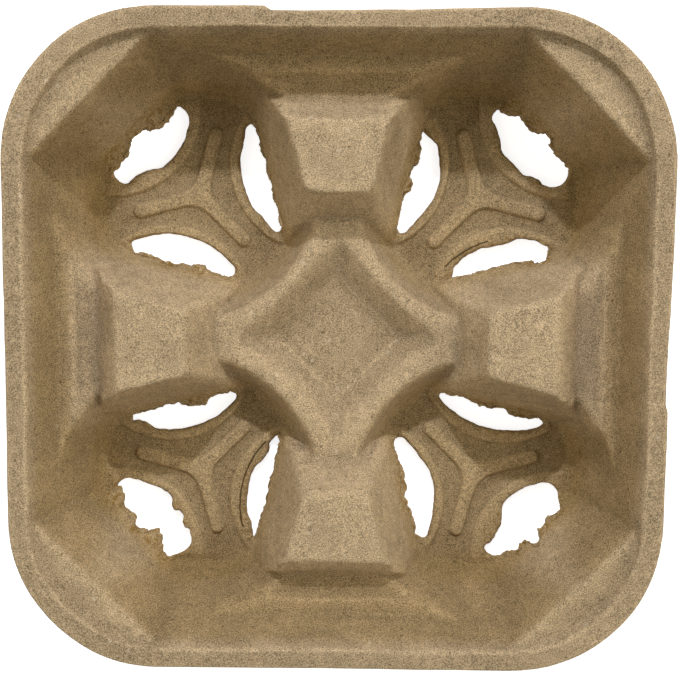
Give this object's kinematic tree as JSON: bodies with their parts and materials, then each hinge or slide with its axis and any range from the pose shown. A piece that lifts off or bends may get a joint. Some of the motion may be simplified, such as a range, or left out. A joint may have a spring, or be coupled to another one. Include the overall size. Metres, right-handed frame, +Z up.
{
  "type": "moulded pulp cup carrier tray",
  "caption": "Square moulded-pulp carrier tray with round cup pockets, slotted pocket floors, tapered posts between the pockets and a flat rim.",
  "frame": {"origin": "centre of the tray on the plane that it rests on", "axes": "+Z up through the open side, +X and +Y square to the straight sides"},
  "size_m": [0.21, 0.21, 0.045],
  "materials": {
    "pulp": "matte"
  },
  "bodies": {
    "root": {"cup_carrier": "pulp"}
  },
  "joints": []
}
